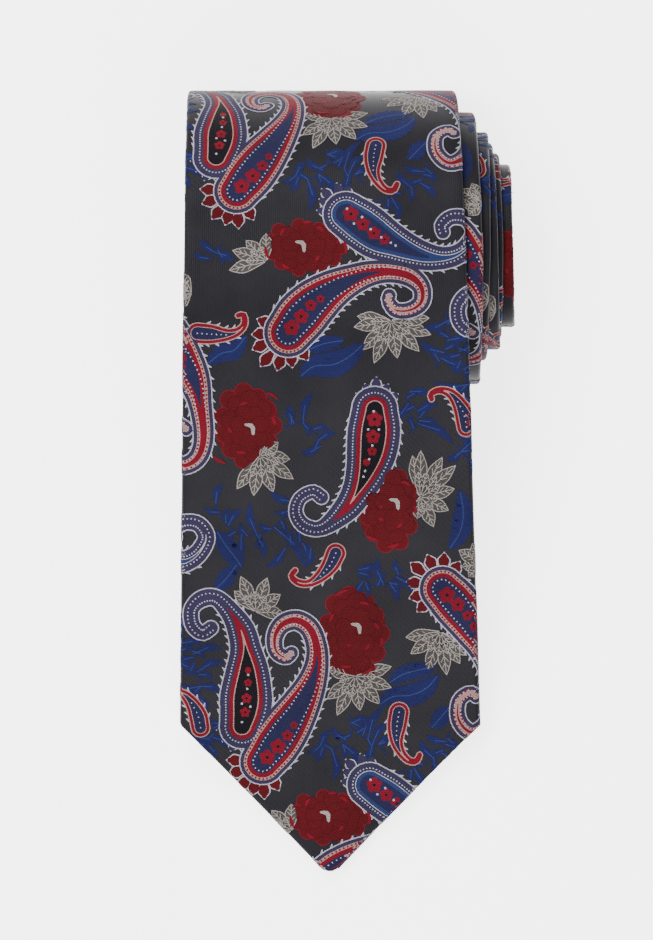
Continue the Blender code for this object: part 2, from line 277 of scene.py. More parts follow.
class NecktieSizes(bpy.types.PropertyGroup):
    """Sizes of the cloth, its weave and its stitches."""

    cloth: length_setting("Silk", "Thickness of the silk", 0.35)
    wool: length_setting("Interlining", "Thickness of the wool interlining", 0.7)
    lining: length_setting("Lining", "Thickness of the lining", 0.25)
    row: length_setting("Row", "Distance between rows of the cloth's mesh", 1.2)
    slit_half: length_setting("Slit", "Half of the gap between the folded edges at the back", 0.3)
    base: length_setting("Figure height", "Height of the lowest woven figure over the ground", 0.06)
    layer: length_setting("Figure step", "Height of each further woven figure over the one below", 0.02)
    figure_step: length_setting("Figure mesh", "Distance between points along a woven figure", 1.0)
    figure_width: length_setting("Figure mesh across", "Most distance between points across a figure", 2.4)
    thread: length_setting("Thread", "Radius of the sewing thread", 0.16)
    stitch_pitch: length_setting("Slip stitch pitch", "Distance between slip stitches", 9.0)
    lens: bpy.props.FloatProperty(
        name="Lens", description="Focal length of the camera over the tie", default=300.0, unit="CAMERA"
    )


class NecktieColours(bpy.types.PropertyGroup):
    """Colours of the yarns, the lining and the stage."""

    ground: colour_setting("Ground", "Charcoal satin ground", "#1d1c20")
    navy: colour_setting("Navy", "Navy figure yarn", "#272338")
    blue: colour_setting("Blue", "Blue ring of the blue paisleys", "#1f294b")
    core: colour_setting("Core", "Deep blue inside the motifs", "#1b1b34")
    foliage: colour_setting("Foliage", "Blue vines and leaves", "#171a3d")
    vein: colour_setting("Vein", "Veins of the blue leaves", "#242e57")
    red: colour_setting("Red", "Bright red figure yarn", "#5b0e1a")
    crimson: colour_setting("Crimson", "Crimson of the peonies", "#420d11")
    maroon: colour_setting("Maroon", "Creases of the peonies", "#3a0b0f")
    silver: colour_setting("Silver", "Edges of the leaf fans", "#79736f")
    taupe: colour_setting("Taupe", "Body of the leaf fans", "#3a3735")
    cream: colour_setting("Cream", "Cream and salmon outline yarn", "#816561")
    white: colour_setting("White", "White outline and bead yarn", "#86848e")
    dark: colour_setting("Dark", "Near-black core yarn", "#100e12")
    lining: colour_setting("Lining", "Black acetate tipping", "#1d1d22")
    wool: colour_setting("Wool", "Undyed wool interlining", "#c9c0ac")
    label: colour_setting("Label", "Satin label", "#2c2c33")
    thread: colour_setting("Thread", "Sewing thread", "#19191d")
    floor: colour_setting("Floor", "Pale studio floor", "#f6f6f6")


# The woven pattern, in mm on the cloth: p across, q along. Every figure repeats by both steps.
REPEATS = ((-7.65, 180.4), (-84.0, -95.5))
# Spines of the paisleys, from the bulb to the curled end, as (p, q, half of the width).
BLUE_RED_RING = (
    (
        (-28, 47, 7.5), (-27, 52, 8.4), (-26.6, 57, 8.6), (-26.3, 65, 7.2), (-26.8, 72, 5.3),
        (-28.3, 78, 4.7), (-31.5, 83.5, 3.6), (-36, 88, 3), (-40.5, 87.8, 3), (-43.8, 84.5, 2.7),
        (-43.5, 79.5, 2.7), (-40.5, 76.8, 2.6), (-37.7, 78.5, 2.6),
    ),
    (
        (14, 147.5, 7.5), (13.8, 141, 8.6), (13, 134, 8.2), (11.2, 127.5, 6.8), (8.5, 121.5, 5.3),
        (4.7, 116, 4.4), (-2.5, 110.3, 2.8), (-8, 111, 2.7), (-10.7, 115, 2.5), (-9.5, 119.5, 2.4),
        (-5.5, 121.7, 2.4), (-2.7, 120, 2.5),
    ),
)
BLUE_RING = (
    (
        (5, 208.5, 7.5), (10, 205, 8), (15, 201.5, 7.7), (20, 199, 6.5), (25, 196.8, 5.5),
        (30, 195.2, 4.7), (35, 194.7, 3.9), (39.5, 195.7, 3.5), (43, 198.5, 3.2), (45, 203, 3),
        (42.5, 207, 2.8), (38, 207.5, 2.7), (35, 205, 2.6), (35.3, 202.8, 2.4),
    ),
)
RED_PAISLEYS = (
    (
        (-21.5, 35.5, 7.5), (-17.5, 41, 8.3), (-13.5, 47, 8), (-9.5, 53.5, 6.8), (-6, 60.5, 5.3),
        (-4.2, 67, 4.2), (-4.3, 73, 3.7), (-6.5, 78.5, 3.6), (-10.8, 81, 3.5), (-15.3, 79.5, 3.3),
        (-17.5, 75.5, 3), (-17, 71, 2.8), (-14, 69, 2.6), (-12.2, 70.5, 2.4),
    ),
    (
        (-13, 171.5, 8), (-9, 176.5, 8.6), (-4.5, 181, 8), (1, 185, 6.6), (7, 188, 5.2),
        (13, 190, 4.3), (19, 190.4, 3.7), (25, 189, 3.6), (28.6, 185.5, 3.2), (28.5, 181, 3),
        (25, 178.5, 2.8), (20.5, 178.5, 2.7), (18.2, 181.5, 2.4), (18.5, 183, 2.4),
    ),
    (
        (35.5, 91, 7.5), (40, 86, 8), (45, 79, 7), (49, 72, 5.5), (51, 64, 4), (52, 54, 3.5),
        (50, 47.5, 3.3), (45, 45, 3), (41, 49, 2.8), (41, 55, 2.6), (44.5, 57.8, 2.5), (46.5, 56.5, 2.4),
    ),
)
TEARDROPS = (
    (
        (22, 51.5, 3.4), (21.3, 47, 3.3), (21.2, 42.5, 2.4), (22.5, 38.8, 1.7), (25, 36, 1.4),
        (27.5, 35.8, 1.3), (28.6, 37.8, 1.1),
    ),
    (
        (-41.5, 171.3, 3.4), (-37, 171, 3.2), (-32.5, 170.8, 2.2), (-29, 171.7, 1.6), (-26.8, 174, 1.3),
        (-27, 177, 1.2), (-28.8, 176.8, 1),
    ),
    (
        (42.8, 142, 3.2), (42, 146, 3.2), (40, 150, 2.4), (37.3, 152.8, 1.7), (34, 153.5, 1.3),
        (31.6, 152.3, 1.2), (31.8, 150.8, 1.1),
    ),
    (
        (1.8, 102.3, 3.3), (0, 98.5, 3), (-3, 95, 2.2), (-6.5, 92.8, 1.5), (-10, 93, 1.4),
        (-12.2, 95, 1.2), (-11, 96.8, 1.1),
    ),
)
# Petals and scallops round the bulbs, and the flowers inside them.
RED_PETALS = (
    ((-21.5, 35.5), ((-31, 36), (-30.5, 32), (-28, 28), (-24.5, 26.5), (-21, 25.5), (-17.2, 28))),
    (
        (-13, 171.5),
        ((-21, 175), (-22.5, 171), (-22.5, 167), (-20.5, 162.5), (-16, 161.5), (-12, 162.5), (-8, 164.5)),
    ),
    ((35.5, 91), ((27, 98), (26, 93), (27, 88.5), (29, 85), (31.5, 100), (36, 100.5), (40, 98))),
)
SCALLOPS = (
    ((-28, 47), ((-34.5, 46), (-33, 43), (-31, 40.5), (-27, 39.5), (-23, 40.5))),
    ((14, 147.5), ((9.3, 151.5), (11.5, 154), (14.5, 156), (17.5, 154), (20, 151.5))),
    ((5, 208.5), ((-1.5, 215.5), (2.5, 217), (5.5, 216), (-2, 212.5), (-2.5, 209.5))),
)
RED_FLOWERS = (
    (-26, 65, 1.2), (-26, 61, 1.6), (-26.5, 56, 2), (-27, 51.5, 2), (-20, 37, 3), (-16.5, 40.5, 3),
    (-13.5, 44, 2.2), (-11.5, 47.3, 1.5), (6.5, 208.5, 3), (10.3, 205.3, 2.6), (13.7, 202.5, 2.5),
    (17, 200.5, 2), (-12, 173, 3), (-9, 176.5, 2.8), (-6, 180, 2.2), (-3, 182, 1.6), (14, 144.5, 3),
    (13.5, 139, 2.7), (13.2, 134.5, 1.8), (11.5, 131, 1.3), (37, 89, 3.2), (40.5, 86, 2.8),
    (43.5, 82.5, 2), (45.5, 79, 1.6),
)
WHITE_FLOWERS = (
    (-26, 63.5), (-26.3, 59), (-28, 54.3), (-25.3, 53.3), (-28, 48.3), (5.3, 210.2), (10, 207.5),
    (7.5, 205.5), (12.7, 203.7), (16, 201.2), (19, 199.5), (20.5, 198.6), (13.7, 147), (12, 141.3),
    (15.3, 141.3), (13.3, 136.3), (12.3, 132), (11, 128.3), (10.5, 126.5),
)
# Peonies: the box they fill, the silver heart and the bright touches.
PEONIES = (
    (
        (-3, 62, 18, 91), (8.5, 78.5),
        ((3.5, 90), (11, 86.5), (15, 79), (16.5, 74), (12, 72.5), (6, 73), (0.5, 82), (5, 66), (12, 64.5)),
    ),
    (
        (-22, 190, 6, 206), (-9, 198.5),
        ((-15, 203), (-7, 206), (-3, 204), (-20, 196.5), (-4, 194.5), (5, 198), (-14, 192)),
    ),
    (
        (9, 103, 28, 130), (20.5, 118),
        ((24, 124.5), (16, 117), (16, 113), (22, 111), (13, 107), (20, 104.5), (27, 116)),
    ),
    (
        (-36, 130, -16, 155), (-25, 141.5),
        ((-18, 152), (-27, 149.5), (-31.5, 141), (-28, 134), (-35, 131.5), (-17.5, 144)),
    ),
)
# Silver leaf fans: where the leaves spring from, and their tips.
FANS = (
    ((8, 63), ((19, 66), (19, 59.5), (15.5, 54.5), (9.5, 52.5), (2.5, 51), (-0.5, 56), (0, 65))),
    ((-23.5, 84), ((-30, 90), (-28, 94.5), (-20, 94), (-16, 89), (-15, 83))),
    (
        (-22, 133),
        ((-19.5, 138.5), (-16.5, 137), (-13, 132), (-12, 126), (-18, 122), (-24, 121), (-29, 123)),
    ),
    (
        (28.5, 120),
        (
            (26, 132.5), (28.5, 134), (35, 132), (39, 129.5), (38.7, 122.5), (37, 116), (32.5, 111),
            (27.5, 113.5),
        ),
    ),
    (
        (19, 175),
        (
            (9, 176.5), (8, 173.3), (10.5, 166.5), (14, 162.5), (21, 164), (27.5, 166), (31, 171),
            (30.5, 176),
        ),
    ),
    ((35, 77), ((24.5, 75.5), (26, 70.5), (31, 65), (37, 64), (41, 67.5), (43, 70))),
    ((48, 99), ((41, 103), (45, 105), (42, 98), (44, 95))),
    ((-20, 194), ((-31, 191), (-30, 197), (-26, 200), (-20, 202))),
)
# Broad navy leaves, as spines, and fine vines with the places of their leaves.
BROAD_LEAVES = (
    ((16, 54, 0.6), (20, 56.5, 2.6), (26, 57, 3.6), (31, 59.5, 2.6), (34, 63, 0.8)),
    ((19, 61, 0.5), (23, 63.5, 2.2), (28, 65, 2.4), (33, 66, 0.6)),
    ((32.5, 46.5, 0.5), (35, 49.5, 2.6), (38, 53, 0.7)),
    ((-9, 158, 0.6), (-5, 161, 3.2), (1, 161.5, 4), (6, 164, 3), (10, 167.5, 0.8)),
    ((-7, 166, 0.5), (-2, 168, 2.4), (4, 169, 0.7)),
    ((38, 104, 0.6), (41, 109, 3), (42, 115, 3), (41, 121.5, 0.7)),
    ((-35.5, 109, 0.6), (-33, 105, 2.6), (-30, 101, 2.6), (-28, 98, 0.7)),
    ((-36, 91, 0.6), (-33, 94, 2.4), (-29.5, 98.5, 0.6)),
    ((-38, 162, 0.6), (-34, 165, 2.6), (-30, 166, 2.8), (-26.5, 170, 0.7)),
)
VINES = (
    (
        ((6.6, 50), (6.8, 45), (4, 41), (0, 39.5), (-4, 41)),
        ((-1.5, 43), (-3.5, 38), (1, 34.5), (9.6, 48.5), (6.6, 38), (3, 44.5)),
    ),
    (((7, 46), (11, 43.5), (15, 41.5), (18, 38)), ((14.6, 48), (12, 46.5), (16, 45), (12, 38.5), (17, 42))),
    (
        ((38, 45), (36, 39), (32, 36), (26, 33), (22, 32)),
        ((34, 43), (39, 40), (38, 36), (28, 30), (31, 39.5)),
    ),
    (
        ((-10, 121), (-14, 114), (-20, 109), (-27, 108), (-33, 112), (-36, 118)),
        (
            (-35, 121), (-30, 113.5), (-15, 120), (-11, 116), (-22, 104.5), (-13, 104.5), (-24, 113),
            (-29, 104),
        ),
    ),
    (((-14, 104), (-10, 106), (-6, 104)), ((-9, 109), (-7, 101), (-17, 101))),
    (((-14, 142), (-9, 143.5), (-5, 141), (-3, 136)), ((-12, 146), (-7, 148), (-1, 139), (-6, 135))),
    (
        ((25, 140), (28, 144), (27, 148), (24, 150), (25, 153)),
        ((31, 143), (30.5, 148), (22, 147), (28, 152.5), (33, 140)),
    ),
    (((33, 161), (36, 166), (37, 172), (36, 178)), ((32, 167), (40, 169), (33, 174), (40, 176), (38, 161))),
    (((-44, 73), (-43, 67), (-41, 61), (-42, 55)), ((-46, 69), (-38, 66), (-46, 60), (-38, 59), (-39, 71))),
    (((-38, 50), (-37, 45), (-39, 40)), ((-35, 47), (-41, 44), (-35, 42))),
    (((9, 98), (10, 94), (14, 92), (19, 93), (23, 97)), ((12, 97), (16, 96.5), (20, 90), (24, 92), (8, 91))),
    (((40, 136), (42, 133), (45, 131)), ((39, 133), (44, 136))),
    (((-34, 199), (-36, 196), (-39, 194)), ((-33, 195), (-38, 198.5))),
)
YARNS = (
    "navy", "blue", "core", "foliage", "vein", "red", "crimson", "maroon", "silver", "taupe", "cream",
    "white", "dark",
)


def smooth_line(points, step):
    """A smooth curve through (p, q, half width) points, at about equal steps along it."""
    given = np.array(points, float)
    padded = np.concatenate([[2 * given[0] - given[1]], given, [2 * given[-1] - given[-2]]])
    part = np.linspace(0, 1, 8, endpoint=False)[:, None]
    runs = []
    for a, b, c, d in zip(padded, padded[1:], padded[2:], padded[3:]):
        bow = (2 * a - 5 * b + 4 * c - d) * part**2 + (3 * (b - c) + d - a) * part**3
        runs.append(b + ((c - a) * part + bow) / 2)
    line = np.concatenate(runs + [given[-1:]])
    along = np.concatenate([[0], np.cumsum(np.linalg.norm(np.diff(line[:, :2], axis=0), axis=1))])
    wanted = np.linspace(0, along[-1], max(2, round(along[-1] / step)) + 1)
    return np.stack([np.interp(wanted, along, line[:, k]) for k in range(3)], axis=1)


# In mm: a finer stroke ends in a point, a smaller dot has six sides, a figure that lies higher
# on the cloth has no sides of its own, and a stroke stops where its half width is under the last.
HAIRLINE, SMALL_DOT, SIDES_BELOW, LEAST_HALF = 0.55, 0.6, 0.09, 0.12


class Weaver:
    """Draws woven figures flat, one mesh for each yarn, with height standing for what lies on top."""

    def __init__(self):
        self.base, self.layer = setting("base"), setting("layer")
        self.step, self.width = setting("figure_step"), setting("figure_width")
        self.meshes = {yarn: bmesh.new() for yarn in YARNS}
        self.made = 0

    def height(self, level):
        """Height of a level, and a hair more for each figure so that two never lie at one height."""
        self.made += 1
        return self.base + self.layer * (level + self.made % 9 / 10)

    def stroke(self, yarn, level, points, inset=0.0):
        """A band along a spine with rounded ends, narrowed by inset all round."""
        line = smooth_line(points, self.step)
        half = line[:, 2] - inset
        thin = half < LEAST_HALF
        end = int(np.argmax(thin)) if thin.any() else len(half)
        if end < 2:
            return
        line, half = line[:end], half[:end]
        ahead = np.gradient(line[:, :2], axis=0)
        ahead /= np.maximum(np.linalg.norm(ahead, axis=1), 1e-9)[:, None]
        caps = 1 if half[0] < HAIRLINE else 3 if half[0] < 1.5 else 6
        angle = np.linspace(0, math.pi / 2, caps, endpoint=False)
        first = line[0, :2] - ahead[0] * (half[0] * np.cos(angle))[:, None]
        last = line[-1, :2] + ahead[-1] * (half[-1] * np.cos(angle[::-1]))[:, None]
        centre = np.concatenate([first, line[:, :2], last])
        reach = np.concatenate([half[0] * np.sin(angle), half, half[-1] * np.sin(angle[::-1])])
        heading = np.concatenate([ahead[:1].repeat(caps, 0), ahead, ahead[-1:].repeat(caps, 0)])
        across = max(1, math.ceil(2 * half.max() / self.width))
        along = len(centre) - 1
        height = self.height(level)
        made = bmesh.ops.create_grid(self.meshes[yarn], x_segments=along, y_segments=across, size=0.5)
        for vert in made["verts"]:
            i, side = round((vert.co.x + 0.5) * along), vert.co.y * 2
            p = centre[i, 0] - heading[i, 1] * reach[i] * side
            q = centre[i, 1] + heading[i, 0] * reach[i] * side
            vert.co = (p, q, height)

    def dot(self, yarn, level, p, q, radius):
        """A small round figure."""
        place = Matrix.Translation((p, q, self.height(level)))
        segments = 6 if radius < SMALL_DOT else 10
        bmesh.ops.create_circle(
            self.meshes[yarn], cap_ends=True, segments=segments, radius=radius, matrix=place
        )

    def beads(self, yarn, level, points, inset, pitch, radius):
        """A row of dots a steady distance inside a spine's outline, along both sides and round the bulb."""
        line = smooth_line(points, pitch)
        ahead = np.gradient(line[:, :2], axis=0)
        ahead /= np.linalg.norm(ahead, axis=1)[:, None]
        for (p, q, half), (dp, dq) in zip(line, ahead):
            reach = max(half - inset, half * 0.38)
            for side in (-1, 1):
                self.dot(yarn, level, p - dq * reach * side, q + dp * reach * side, radius)
        start, reach = math.atan2(ahead[0, 1], ahead[0, 0]), line[0, 2] - inset
        count = max(2, round(math.pi * reach / pitch))
        for k in range(1, count):
            turn = start + math.pi / 2 + math.pi * k / count
            p, q = line[0, 0] + math.cos(turn) * reach, line[0, 1] + math.sin(turn) * reach
            self.dot(yarn, level, p, q, radius)

    def leaf(self, start, end, width, bow=0.12):
        """A plump vine leaf with a fine vein."""
        (p0, q0), (p1, q1) = start, end
        mid = (p0 + (p1 - p0) * 0.55 - (q1 - q0) * bow, q0 + (q1 - q0) * 0.55 + (p1 - p0) * bow)
        self.stroke("foliage", 1, ((p0, q0, 0.3), (*mid, width), (p1, q1, 0.25)))
        self.stroke("vein", 2, ((p0, q0, 0.14), (*mid, 0.14)))

    def fan_leaf(self, level, base, tip, length, width):
        """A broad pointed leaf of a silver fan, edged in a paler yarn and finely veined."""
        base = np.array(base, float)
        reach = (np.array(tip) - base) * length
        stops = ((0.08, 0.35), (0.4, 0.82), (0.66, 1.0), (0.88, 0.5), (1.0, 0.06))
        spine = [(*(base + reach * part), max(width * share, 0.12)) for part, share in stops]
        self.stroke("silver", level, spine)
        self.stroke("taupe", level + 1, spine, 0.32)
        across = np.array((-reach[1], reach[0])) / np.linalg.norm(reach)
        self.stroke("silver", level + 2, [(*(base + reach * part), 0.13) for part in (0.1, 0.5, 0.92)])
        for part in (0.38, 0.56, 0.72):
            for side in (-1, 1):
                start = base + reach * part
                end = start + reach * 0.13 + across * side * width * 0.55
                self.stroke("silver", level + 2, ((*start, 0.12), (*end, 0.12)))

    def petal(self, level, centre, spot, widths, yarns, inset):
        """A petal that points away from centre, with a paler or darker rim."""
        centre, spot = np.array(centre, float), np.array(spot, float)
        out = (spot - centre) / np.linalg.norm(spot - centre)
        spine = [(*(spot + out * far), width) for far, width in widths]
        self.stroke(yarns[0], level, spine)
        self.stroke(yarns[1], level + 1, spine, inset)

    def flower(self, level, p, q, radius):
        """A small cluster of red petals."""
        if radius < 1.4:
            self.dot("red", level, p, q, radius * 0.9)
            return
        for k in range(5):
            turn = math.pi * 0.4 * k + 0.3
            spot = (p + math.cos(turn) * radius * 0.5, q + math.sin(turn) * radius * 0.5)
            self.dot("red", level, *spot, radius * 0.36)
        self.dot("dark", level + 1, p, q, radius * 0.16)

    def thorns(self, level, points):
        """Fine barbs that lean forwards along both sides of a paisley's body."""
        line = smooth_line(points, 3.0)
        ahead = np.gradient(line[:, :2], axis=0)
        ahead /= np.linalg.norm(ahead, axis=1)[:, None]
        last = round(len(line) * 0.62)
        for (p, q, half), (dp, dq) in list(zip(line, ahead))[1:last]:
            for side in (-1, 1):
                start = (p - dq * (half - 0.3) * side, q + dp * (half - 0.3) * side)
                end = (start[0] - dq * side * 0.95 + dp * 1.0, start[1] + dp * side * 0.95 + dq * 1.0)
                self.stroke("white", level, ((*start, 0.5), (*end, 0.14)))


def draw_paisleys(weaver):
    """The large paisleys, from their outlines inwards, with the petals and flowers on them."""
    for spine in BLUE_RED_RING + BLUE_RING + RED_PAISLEYS:
        weaver.stroke("white", 4, spine)
        weaver.thorns(3, spine)
        weaver.stroke("navy", 5, spine, 0.38)
    for spine in BLUE_RED_RING:
        weaver.beads("white", 6, spine, 2.2, 1.05, 0.27)
        weaver.stroke("red", 6, spine, 3.3)
        weaver.stroke("cream", 7, spine, 4.6)
        weaver.stroke("dark", 8, spine, 4.95)
    for spine in BLUE_RING:
        weaver.beads("white", 6, spine, 2.1, 1.05, 0.27)
        weaver.stroke("white", 6, spine, 2.85)
        weaver.stroke("blue", 7, spine, 3.1)
        weaver.stroke("core", 8, spine, 4.3)
    for spine in RED_PAISLEYS:
        weaver.stroke("cream", 6, spine, 1.5)
        weaver.beads("red", 7, spine, 2.0, 1.2, 0.36)
        weaver.stroke("red", 7, spine, 2.5)
        weaver.stroke("core", 8, spine, 3.8)
        weaver.beads("white", 9, spine, 4.5, 1.4, 0.27)
    for centre, spots in RED_PETALS:
        for spot in spots:
            widths = ((-3.0, 1.5), (-0.4, 2.2), (1.1, 1.1), (1.9, 0.3))
            weaver.petal(1, centre, spot, widths, ("white", "crimson"), 0.42)
    for centre, spots in SCALLOPS:
        for spot in spots:
            widths = ((-2.4, 1.4), (-0.2, 1.9), (1.0, 0.9), (1.5, 0.3))
            weaver.petal(1, centre, spot, widths, ("white", "navy"), 0.4)
    for p, q, radius in RED_FLOWERS:
        weaver.flower(9, p, q, radius)
    for p, q in WHITE_FLOWERS:
        weaver.dot("white", 10, p, q, 0.42)


def draw_teardrops(weaver):
    """The small red paisleys with a fine dotted core."""
    for spine in TEARDROPS:
        weaver.stroke("cream", 4, spine)
        weaver.thorns(3, spine)
        weaver.stroke("red", 5, spine, 0.36)
        weaver.stroke("cream", 6, spine, 1.25)
        weaver.stroke("core", 7, spine, 1.5)
        for p, q, _ in smooth_line(spine[:3], 1.6):
            weaver.dot("white", 8, p, q, 0.24)


def draw_peonies(weaver):
    """Full blooms: rings of broad petals, each with a bright rim and a dark crease, and a silver heart."""
    for (p0, q0, p1, q1), heart, touches in PEONIES:
        middle, half = np.array(((p0 + p1) / 2, (q0 + q1) / 2)), np.array(((p1 - p0) / 2, (q1 - q0) / 2))
        least = float(half.min())
        rings = ((11, 0.93, 0.30, 0), (9, 0.72, 0.30, 3), (7, 0.46, 0.27, 6))
        weaver.stroke("crimson", 0, [(*(middle + half * end), least * 0.72) for end in (-0.24, 0.0, 0.24)])
        for count, reach, share, level in rings:
            pull = (np.array(heart) - middle) * (1 - reach)
            for k in range(count):
                turn = 2 * math.pi * (k + 0.37 * level) / count
                frill = 1 + 0.09 * math.sin(5 * k + level)
                out = half * np.array((math.cos(turn), math.sin(turn))) * reach * frill
                inner, outer = middle + pull + out * 0.45, middle + pull + out * 0.86
                size = least * share
                spine = ((*inner, size * 0.8), (*outer, size))
                lift = level + (k % 2)
                weaver.stroke("maroon" if level else "red", lift, spine)
                weaver.stroke("crimson", lift + 1, spine, 0.28)
        for p, q in touches:
            along = (middle - (p, q)) * 0.16
            side = np.array((-along[1], along[0])) * 0.9
            arc = ((*((p, q) + side), 0.25), (p, q, 0.55), (*((p, q) - side + along * 0.3), 0.25))
            weaver.stroke("red", 9, arc)
        p, q = heart
        curl = ((p - 1.6, q + 1.3, 0.35), (p + 0.6, q + 0.8, 0.75), (p + 0.9, q - 1.6, 0.45))
        weaver.stroke("silver", 10, curl)


def draw_leaves(weaver):
    """Silver fans, broad navy leaves and fine vines between the paisleys."""
    for base, tips in FANS:
        for k, tip in enumerate(tips):
            weaver.fan_leaf(2 * (k % 2), base, tip, 1.04, 2.1)
        for one, other in zip(tips, tips[1:]):
            between_tips = ((one[0] + other[0]) / 2, (one[1] + other[1]) / 2)
            weaver.fan_leaf(5, base, between_tips, 0.6, 1.5)
    for spine in BROAD_LEAVES:
        weaver.stroke("foliage", 0, spine)
        for p, q, radius in smooth_line(spine, 2.2)[1:-1]:
            for k in range(4):
                turn = math.pi / 2 * k + 0.6
                spot = (p + math.cos(turn) * radius * 0.8, q + math.sin(turn) * radius * 0.8)
                weaver.dot("foliage", 0, *spot, 1.0)
        weaver.stroke("vein", 1, [(p, q, 0.17) for p, q, _ in spine])
    for line, leaves in VINES:
        stem = smooth_line([(p, q, 1) for p, q in line], 1.0)
        weaver.stroke("foliage", 0, [(p, q, 0.34) for p, q in line])
        ahead = np.gradient(stem[:, :2], axis=0)
        for k in range(2, len(stem) - 1, 4):
            side = 1 if k % 8 < 4 else -1
            out = ahead[k] * 0.75 + np.array((-ahead[k, 1], ahead[k, 0])) * side
            tip = stem[k, :2] + out / np.linalg.norm(out) * 4.6
            weaver.leaf(tuple(stem[k, :2]), tuple(tip), 1.05)
        for middle in leaves:
            near = min(stem, key=lambda point: math.dist(point[:2], middle))[:2]
            away = np.array(middle) - near
            length = max(2.0 * np.linalg.norm(away), 4.2)
            tip = near + away / max(np.linalg.norm(away), 1e-6) * length
            weaver.leaf(tuple(near), tuple(tip), 1.35)


def data_of(mesh, name, positions):
    """Mesh data with its flat place in mm kept as a UV map, and its points moved to positions."""
    data = bpy.data.meshes.new(name)
    mesh.to_mesh(data)
    mesh.free()
    flat = np.empty(len(data.vertices) * 3, np.float32)
    data.vertices.foreach_get("co", flat)
    flat = flat.reshape(-1, 3).astype(float)
    corners = np.empty(len(data.loops), np.int32)
    data.loops.foreach_get("vertex_index", corners)
    layer = data.uv_layers.new(name="cloth_mm")
    layer.data.foreach_set("uv", flat[corners, :2].astype(np.float32).ravel())
    data.vertices.foreach_set("co", positions(flat).astype(np.float32).ravel())
    data.update()
    return data


def show(data, material):
    """A shown object for finished mesh data."""
    data.shade_smooth()
    data.set_sharp_from_angle(angle=math.radians(42))
    data.materials.append(material)
    made = bpy.data.objects.new(data.name, data)
    bpy.context.scene.collection.objects.link(made)
    return made


def settle(made, on_front):
    """Leaves a piece on the front where it lies, its transform applied, or has it ride with the coil."""
    if on_front:
        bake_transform(made)
    else:
        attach(made, "roll")
    return made


def thicken(data, thickness):
    """Gives a sheet its thickness, inwards from its outer face, with the UV map kept."""
    mesh = bmesh.new()
    mesh.from_mesh(data)
    bmesh.ops.remove_doubles(mesh, verts=mesh.verts, dist=2e-6)
    bmesh.ops.solidify(mesh, geom=mesh.faces[:], thickness=thickness * MM)
    mesh.to_mesh(data)
    mesh.free()
    data.update()


def grid(columns, rows, placed):
    """A grid whose points are placed in flat space from (across -1 to 1, along 0 to 1)."""
    mesh = bmesh.new()
    bmesh.ops.create_grid(mesh, x_segments=columns, y_segments=rows, size=0.5)
    across = np.array([v.co.x * 2 for v in mesh.verts])
    along = np.array([v.co.y + 0.5 for v in mesh.verts])
    for vert, place in zip(mesh.verts, placed(across, along)):
        vert.co = place
    return mesh


# How the columns of a folded cloth are shared out: front and back alike, and the fold between them.
COLUMNS, FRONT_SHARE, FOLD_SHARE = 80, 0.4, 0.2


def folded_cloth(name, span, bias, material):
    """Silk folded round to the back, its ends cut square or on the bias.

    Returns the object, and the flat width, length and area of the cut cloth in metres.
    """

    def place(across, along):
        b = np.abs(across)
        nominal = span[0] + (span[1] - span[0]) * along
        for _ in range(2):
            radius = edge_radius(nominal)
            flat, gap = half_width(nominal) - radius, opening(nominal)
            front = np.clip(b / FRONT_SHARE, 0, 1) * flat
            turn = np.clip((b - FRONT_SHARE) / FOLD_SHARE, 0, 1) * math.pi
            back = np.clip((b - FRONT_SHARE - FOLD_SHARE) / FRONT_SHARE, 0, 1) * (flat - gap)
            u = np.sign(across) * (front + radius * np.sin(turn) - back)
            starts, ends = span[0] + bias[0] * u, span[1] + bias[1] * u
            nominal = starts + (ends - starts) * along
        v = np.sign(across) * (front + radius * turn + back)
        return np.stack([v, nominal, nominal * 0], axis=1)

    mesh = grid(COLUMNS, math.ceil((span[1] - span[0]) / setting("row")), place)
    data = data_of(mesh, name, lambda flat: wrap(flat[:, 0], flat[:, 1], flat[:, 2]))
    thicken(data, setting("cloth"))
    stations = np.linspace(*span, 400)
    reach = fold_reach(stations) * 2 * MM
    area = float(reach.mean() * (span[1] - span[0]) * MM)
    return show(data, material), (float(reach.max()), (span[1] - span[0]) * MM), area


def inner_sheet(name, span, half, top, thickness, material, faces_back=False):
    """A flat sheet inside or on the back of the tie; top is its outer face, measured down from the front."""

    def place(across, along):
        s = span[0] + (span[1] - span[0]) * along
        return np.stack([across * half(s), s, top(s, across)], axis=1)

    width = float(np.max(half(np.linspace(*span, 50)))) * 2
    mesh = grid(max(8, round(width / 2.5)), math.ceil((span[1] - span[0]) / 1.5), place)
    if faces_back:
        bmesh.ops.reverse_faces(mesh, faces=mesh.faces)
    data = data_of(mesh, name, lambda flat: lay_down(flat[:, 0], flat[:, 1], flat[:, 2]))
    thicken(data, thickness)
    stations = np.linspace(*span, 200)
    area = float(half(stations).mean() * 2 * (span[1] - span[0])) * MM * MM
    return show(data, material), (width * MM, (span[1] - span[0]) * MM), area


def thread(mesh, points, radius):
    """A round sewing thread through points in flat space (u, s, t), tapered at its ends."""
    line = smooth_line([(u, s, t) for u, s, t in points], 0.35)
    along = len(line) - 1
    made = bmesh.ops.create_grid(mesh, x_segments=along, y_segments=8, size=0.5)
    ahead = np.gradient(line, axis=0)
    ahead /= np.maximum(np.linalg.norm(ahead, axis=1), 1e-9)[:, None]
    for vert in made["verts"]:
        i, turn = round((vert.co.x + 0.5) * along), (vert.co.y + 0.5) * 2 * math.pi
        heading = Vector(ahead[i])
        side = heading.cross(Vector((0, 0, 1))).normalized()
        up = side.cross(heading).normalized()
        size = radius * min(1.0, 0.25 + 3 * min(i, along - i) / max(along, 1))
        vert.co = Vector(line[i]) + (side * math.cos(turn) + up * math.sin(turn)) * size


